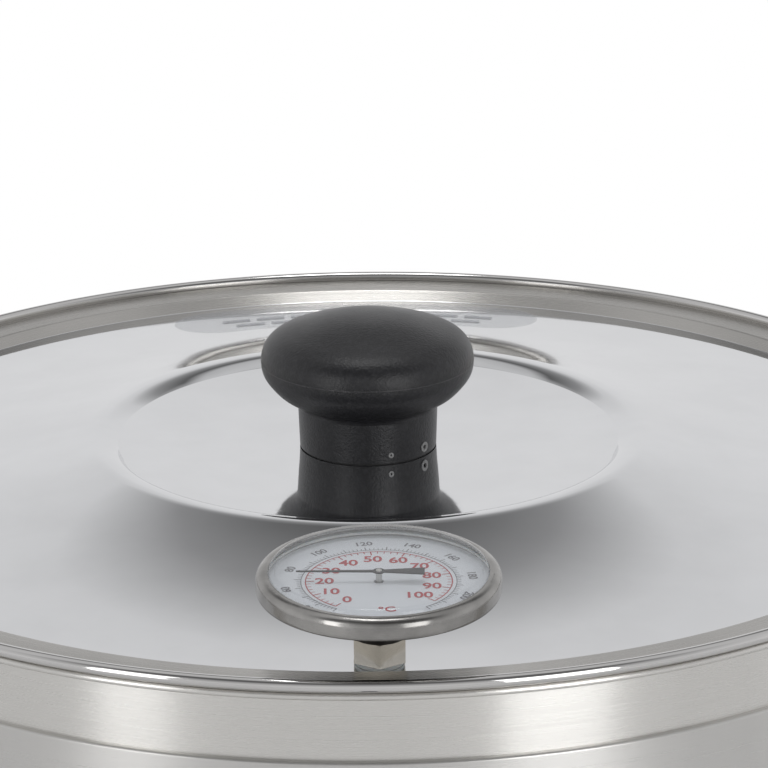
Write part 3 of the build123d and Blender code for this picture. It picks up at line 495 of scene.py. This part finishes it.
def lid_finish(r, z):
    """0 polished panel, 1 brushed flange, 2 rolled rim."""
    if r > LID_R - 2 * ROLL_R + 0.1 and z > RIM_TOP - FLANGE_DROP - 0.05:
        return 2
    return 1 if r > PANEL_R + 0.4 else 0


flange_brushed = brushed_round(
    "flange_brushed", (0.60, 0.585, 0.56), 0.28, 7000.0, spread=0.08, aniso=0.9, mottling=0.14
)
rim_polish = polished("rim_polish", (0.70, 0.69, 0.68), 0.05)
lid = lathe(
    "lid_pressing",
    lid_profile(),
    512,
    [LOOKS["polished_stainless"], flange_brushed, rim_polish],
    pick=lid_finish,
    closed=False,
    sharp=25,
)
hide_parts("lid_shell")
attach(lid, "lid")


# ---- label film, with grey bars where a label would carry words ----------------------------------
LABEL_IN, LABEL_OUT = 130.0, 158.0
LABEL_FROM, LABEL_TO = 74.0, 109.5  # bearings of the round ends' centres, degrees from +X
FILM = 0.08
END_STEPS, ALONG_STEPS, ROWS = 10, 40, 12  # a strip's round end, its length and its width
NARROWEST = 0.05  # a round end's last column keeps this half width


def film_material(name, colour, alpha, rough):
    """Thin clear film, or the ink on it."""
    n = Surface(name)
    wear = n.noise(n.where, 900.0, 4.0)
    lighter = tuple(min(1.0, value * 1.06) for value in colour)
    n.wire(n.colours(wear, [(0.3, colour), (0.7, lighter)]), n.shader.inputs["Base Color"])
    n.wire(n.spread(wear, 0.3, 0.7, rough, rough + 0.06), n.shader.inputs["Roughness"])
    n.set(Alpha=alpha)
    return n.material


def strip_on_lid(name, near, far, start, end, lift, material, round_ends=True):
    """A strip that follows the lid between two radii and two bearings."""
    middle, half = (near + far) / 2, (far - near) / 2
    turns = [pi * n / (2 * END_STEPS) for n in range(END_STEPS)] if round_ends else []
    quarter = [(-cos(turn), sin(turn)) for turn in turns]
    stations = [(start, half * along, half * up) for along, up in quarter]
    stations += [
        (start + (end - start) * n / ALONG_STEPS, 0.0, half) for n in range(ALONG_STEPS + 1)
    ]
    stations += [(end, -half * along, half * up) for along, up in reversed(quarter)]
    build = bmesh.new()
    columns = []
    for bearing, beyond, reach in stations:
        angle = radians(bearing) + beyond / middle
        column = []
        for row in range(ROWS + 1):
            r = middle + max(reach, NARROWEST) * (2 * row / ROWS - 1)
            height = (RIM_TOP + panel_rise(r) + lift) * MM
            column.append(build.verts.new((r * MM * cos(angle), r * MM * sin(angle), height)))
        columns.append(column)
    for left, right in zip(columns, columns[1:]):
        for row in range(ROWS):
            build.faces.new((left[row], left[row + 1], right[row + 1], right[row]))
    piece = from_build(name, build, material)
    piece.data.shade_smooth()
    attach(piece, "lid")


film = film_material("label_film", (0.72, 0.77, 0.84), 0.10, 0.12)
edge = film_material("label_edge", (0.45, 0.47, 0.50), 0.16, 0.12)
ink = film_material("label_ink", (0.30, 0.32, 0.35), 0.55, 0.3)
strip_on_lid("label_edge", LABEL_IN - 0.5, LABEL_OUT + 0.5, LABEL_FROM, LABEL_TO, FILM, edge)
strip_on_lid("label_film", LABEL_IN, LABEL_OUT, LABEL_FROM, LABEL_TO, 2 * FILM, film)
BAR_WIDTH = 2.6
BAR_SHARE = 0.8  # of each step along a row, the rest is a gap
for near, start, end, bars in ((136.0, 75, 109, 7), (142.5, 74, 110, 8), (150.0, 87, 98, 1)):
    step = (end - start) / bars
    for bar in range(bars):
        name = f"label_bar_{near:.0f}_{bar}"
        first = start + step * bar
        last = first + BAR_SHARE * step
        strip_on_lid(name, near, near + BAR_WIDTH, first, last, 3 * FILM, ink, False)


# ---- knob's parting line, painted lighter as a highlight, and port rims --------------------------
KNOB_BASE = knob_low.z / MM
EQUATOR = KNOB_BASE + 25.3
KNOB_R = knob_high.x / MM
PARTING_DEPTH, PARTING_PROUD = 0.3, 0.05
parting = lathe(
    "knob_parting",
    [
        (KNOB_R - PARTING_DEPTH, EQUATOR - 0.3),
        (KNOB_R + PARTING_PROUD, EQUATOR - 0.1),
        (KNOB_R + PARTING_PROUD, EQUATOR + 0.1),
        (KNOB_R - PARTING_DEPTH, EQUATOR + 0.3),
    ],
    256,
    # the ridge is real; its colour, lighter than the knob, is a painted highlight
    [moulded("parting_painted_highlight", (0.045, 0.045, 0.047), 0.33)],
)
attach(parting, "knob")
PORT_RISE = 2.4  # ports above the knob's base
PORT_NEAR, PORT_FAR = 19.4, 19.98  # the rims' two faces, from the knob's axis
rim_light = moulded("port_rim", (0.26, 0.26, 0.26), 0.4)
for name, bearing, inner, outer in (("small", 19.4, 0.3, 0.8), ("large", 54.4, 0.7, 1.5)):
    raised = Matrix.Translation((0, 0, (KNOB_BASE + PORT_RISE) * MM))
    turned = Matrix.Rotation(radians(bearing), 4, "Z") @ raised
    rim = lathe(
        f"port_rim_{name}",
        [(inner, PORT_NEAR), (outer, PORT_NEAR), (outer, PORT_FAR), (inner, PORT_FAR)],
        40,
        [rim_light],
        place=turned @ Matrix.Rotation(radians(90), 4, "X"),
    )
    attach(rim, "knob")


# ---- dial print ----------------------------------------------------------------------------------
DIAL_TOP = 22.1
PRINT = 0.06  # ink above the dial
TEXT_SCALE = 1.38  # font size for digits one unit tall
TEXT_BOLD = 0.03
C_ZERO = 143.5  # anticlockwise from the dial's top, degrees
C_STEP = 2.76  # degrees of arc for one degree Celsius
out_z = Vector(gauge_joint["axis"]).normalized()
out_x = Vector((-out_z.y, out_z.x, 0)).normalized()
out_x = out_x if out_x.x > 0 else -out_x
out_y = out_z.cross(out_x)
gauge_place = Matrix((out_x, out_y, out_z)).transposed().to_4x4()
gauge_place.translation = Vector(gauge_joint["pos_m"])


def at(aim, radius):
    """A place on the dial, in mm; the aim is in degrees anticlockwise from the dial's top."""
    return Vector((-radius * sin(radians(aim)), radius * cos(radians(aim)), 0))


def celsius(value):
    """Where a temperature in degrees Celsius stands, anticlockwise from the dial's top."""
    return C_ZERO - C_STEP * value


def fahrenheit(value):
    """The same for degrees Fahrenheit."""
    return celsius((value - 32) / 1.8)


class Print:
    """Marks of one colour on the dial."""

    def __init__(self, name, material):
        self.name, self.material, self.build = name, material, bmesh.new()

    def face(self, corners):
        self.build.faces.new([self.build.verts.new(corner * MM) for corner in corners])

    def tick(self, aim, near, far, width):
        side = at(aim - 90, width / 2)
        inner, outer = at(aim, near), at(aim, far)
        self.face([inner - side, outer - side, outer + side, inner + side])

    def arc(self, radius, width, start, end):
        count = max(2, int(abs(start - end) / 2))
        aims = [start + (end - start) * n / count for n in range(count + 1)]
        for one, two in zip(aims, aims[1:]):
            near, far = radius - width / 2, radius + width / 2
            self.face([at(one, near), at(one, far), at(two, far), at(two, near)])

    def text(self, body, place, size, spin=0.0):
        curve = bpy.data.curves.new("digits", "FONT")
        curve.body, curve.size = body, size * MM * TEXT_SCALE
        curve.align_x, curve.align_y = "CENTER", "CENTER"
        curve.offset = TEXT_BOLD * size * MM
        holder = link("digits", curve)
        mesh = bpy.data.meshes.new_from_object(holder)
        mesh.transform(Matrix.Translation(place * MM) @ Matrix.Rotation(radians(spin), 4, "Z"))
        self.build.from_mesh(mesh)
        bpy.data.objects.remove(holder)

    def done(self):
        piece = from_build(self.name, self.build, self.material)
        piece.data.transform(Matrix.Translation((0, 0, (DIAL_TOP + PRINT) * MM)))
        piece.matrix_world = gauge_place
        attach(piece, "lid")


TURN = 5.5  # the whole dial sits this far anticlockwise in its case
C_RING_R, C_MARK_R, C_SHORT_R, C_LONG_R = 18.45, 18.4, 17.2, 16.3
C_TEXT_R, C_WIDE_TEXT_R = 13.7, 13.2  # two digits, three digits
F_RING_R, F_SHORT_R, F_LONG_R, F_TEXT_R = 19.6, 20.7, 21.4, 23.6
red = Print("dial_celsius", printed("ink_red", (0.42, 0.02, 0.03)))
red.arc(C_RING_R, 0.28, celsius(0), celsius(100))
for value in range(0, 101, 2):
    long = value % 10 == 0
    red.tick(celsius(value), C_MARK_R, C_LONG_R if long else C_SHORT_R, 0.32 if long else 0.2)
for value in range(0, 101, 10):
    red.text(str(value), at(celsius(value), C_TEXT_R if value < 100 else C_WIDE_TEXT_R), 3.5)
red.text("°C", at(180 + TURN, 17.4), 2.9, TURN)
red.done()
grey = Print("dial_fahrenheit", printed("ink_grey", (0.20, 0.20, 0.22)))
grey.arc(F_RING_R, 0.22, fahrenheit(30), fahrenheit(220))
for value in range(30, 221, 2):
    long = value % 10 == 0
    grey.tick(fahrenheit(value), F_RING_R, F_LONG_R if long else F_SHORT_R, 0.26 if long else 0.16)
for value in range(40, 221, 20):
    grey.text(str(value), at(fahrenheit(value), F_TEXT_R), 2.3, fahrenheit(value))
grey.text("°F", at(180 + TURN, 23.2), 2.4, TURN)
grey.done()


# ---- painted shade: a near-black sleeve on the boss above the thermometer's hexagon, where it lies in shadow ---
BOSS_IN_R, BOSS_R = 6.92, 6.98
BOSS_LOW, BOSS_HIGH = 7.65, 16.1  # above the thermometer's seat
shade_sleeve = lathe(
    "gauge_boss_painted_shade",
    [(BOSS_IN_R, BOSS_LOW), (BOSS_R, BOSS_LOW), (BOSS_R, BOSS_HIGH), (BOSS_IN_R, BOSS_HIGH)],
    64,
    [satin("boss_painted_shade", (0.045, 0.043, 0.04), 0.4)],
    place=gauge_place,
)
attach(shade_sleeve, "lid")


# ---- thermostat's scale --------------------------------------------------------------------------
FASCIA_R = -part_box("control_fascia")[0].y / MM
SCALE_Z = 42.0
SCALE_FROM, SCALE_STEP, SCALE_MARKS = -135, 27, 11  # degrees from the top, and how many
SCALE_IN_R, SCALE_R, SCALE_LONG_R = 18.8, 20.2, 20.7
SCALE_HALF_WIDTH = 0.4
SCALE_PROUD = 0.08


def scale_marks():
    """Marks round the thermostat's knob, on the curved fascia; every fifth is longer."""
    build = bmesh.new()
    for step in range(SCALE_MARKS):
        aim = radians(SCALE_FROM + SCALE_STEP * step)
        along = Vector((sin(aim), cos(aim)))
        side = Vector((cos(aim), -sin(aim))) * SCALE_HALF_WIDTH
        near, far = along * SCALE_IN_R, along * (SCALE_R if step % 5 else SCALE_LONG_R)
        corners = []
        for point in (near - side, far - side, far + side, near + side):
            out = sqrt((FASCIA_R + SCALE_PROUD) ** 2 - point.x**2)
            corners.append(build.verts.new((point.x * MM, -out * MM, (SCALE_Z + point.y) * MM)))
        build.faces.new(corners)
    return from_build("stat_scale", build, printed("scale_white", (0.75, 0.75, 0.72)))


scale = scale_marks()
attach(scale, "urn")


# ---- studio --------------------------------------------------------------------------------------
def backdrop():
    """Even white room with a dark band high at the back, a grey front and no visible horizon."""
    world = bpy.data.worlds.new("studio")
    bpy.context.scene.world = world
    world.use_nodes = True
    world.node_tree.nodes.clear()
    n = Nodes(world.node_tree)
    parts = n.add("ShaderNodeSeparateXYZ")
    n.wire(n.add("ShaderNodeTexCoord").outputs["Generated"], parts.inputs[0])
    x, y, z = parts.outputs
    flat = n.math("SQRT", n.math("ADD", n.math("MULTIPLY", x, x), n.math("MULTIPLY", y, y)))
    rearward = n.math("DIVIDE", y, n.math("MAXIMUM", flat, 0.001))
    level = n.math("MULTIPLY", n.math("ADD", z, 1.0), 0.5)

    def grey_ramp(stops):
        """Brightness by height, from -1 straight down to 1 straight up."""
        greys = [((height + 1) / 2, (value, value, value * 1.01)) for height, value in stops]
        return n.colours(level, greys)

    low_rear = [(-1, 0.45), (0.0, 0.77), (0.36, 0.77), (0.50, 0.68)]
    rear = grey_ramp(low_rear + [(0.62, 0.29), (0.73, 0.12), (0.79, 0.50), (0.9, 0.6)])
    side = grey_ramp([(-1, 0.45), (0.0, 0.78), (0.4, 0.74), (0.7, 0.62), (0.9, 0.6)])
    low_front = [(-1, 0.50), (0.0, 0.68), (0.5, 0.46)]
    front = grey_ramp(low_front + [(0.8, 0.12), (0.93, 0.16), (0.98, 0.5)])

    def blend(amount, a, b):
        node = n.add("ShaderNodeMix", data_type="RGBA")
        n.wire(amount, node.inputs["Factor"])
        n.wire(a, node.inputs[6])
        n.wire(b, node.inputs[7])
        return node.outputs[2]

    room = blend(n.spread(rearward, 0.55, 0.80, 0.0, 1.0), side, rear)
    room = blend(n.spread(rearward, -0.15, -0.55, 0.0, 1.0), room, front)
    lit = n.add("ShaderNodeBackground")
    n.wire(room, lit.inputs["Color"])
    plain = n.add("ShaderNodeBackground")
    plain.inputs["Color"].default_value = (1, 1, 1, 1)
    seen = n.add("ShaderNodeMixShader")
    n.wire(n.add("ShaderNodeLightPath").outputs["Is Camera Ray"], seen.inputs[0])
    n.wire(lit.outputs[0], seen.inputs[1])
    n.wire(plain.outputs[0], seen.inputs[2])
    n.wire(seen.outputs[0], n.add("ShaderNodeOutputWorld").inputs["Surface"])


LIGHT_AIM = (0, 0, 0.35)


def softbox(name, place, width, height, power):
    """A rectangular light aimed at the pot."""
    light = bpy.data.lights.new(name, "AREA")
    light.shape = "RECTANGLE"
    light.size, light.size_y, light.energy = width, height, power
    holder = link(name, light)
    holder.location = place
    holder.rotation_euler = (Vector(LIGHT_AIM) - Vector(place)).to_track_quat("-Z", "Y").to_euler()


backdrop()
softbox("left_box", (-1.05, -1.28, 0.60), 0.40, 1.3, 2.9)
softbox("right_box", (0.85, -1.41, 0.60), 0.56, 1.3, 5.0)
softbox("top_box", (0, 0.25, 2.3), 0.5, 0.5, 4)

FLOOR = 1.0  # half of its side, in metres
floor_mesh = bpy.data.meshes.new("floor")
floor_corners = [(-FLOOR, -FLOOR, 0), (FLOOR, -FLOOR, 0), (FLOOR, FLOOR, 0), (-FLOOR, FLOOR, 0)]
floor_mesh.from_pydata(floor_corners, [], [(0, 1, 2, 3)])
paper = satin("floor_paper", (0.88, 0.88, 0.88), 0.8, metallic=0.0, mottling=0.01)
floor_mesh.materials.append(paper)
link("floor", floor_mesh)

# ---- camera --------------------------------------------------------------------------------------
CAMERA_PLACE = (0.00471, -1.074, 0.7662)
CAMERA_PITCH, CAMERA_ROLL = 71.88, -0.47  # degrees; a pitch of 0 looks straight down
camera_data = bpy.data.cameras.new("camera")
camera_data.lens = 183.9
camera_data.sensor_width = 36.0
camera = link("camera", camera_data)
camera.matrix_world = (
    Matrix.Translation(CAMERA_PLACE)
    @ Matrix.Rotation(radians(CAMERA_PITCH), 4, "X")
    @ Matrix.Rotation(radians(CAMERA_ROLL), 4, "Z")
)
bpy.context.scene.camera = camera
bpy.context.scene.view_settings.view_transform = "Standard"
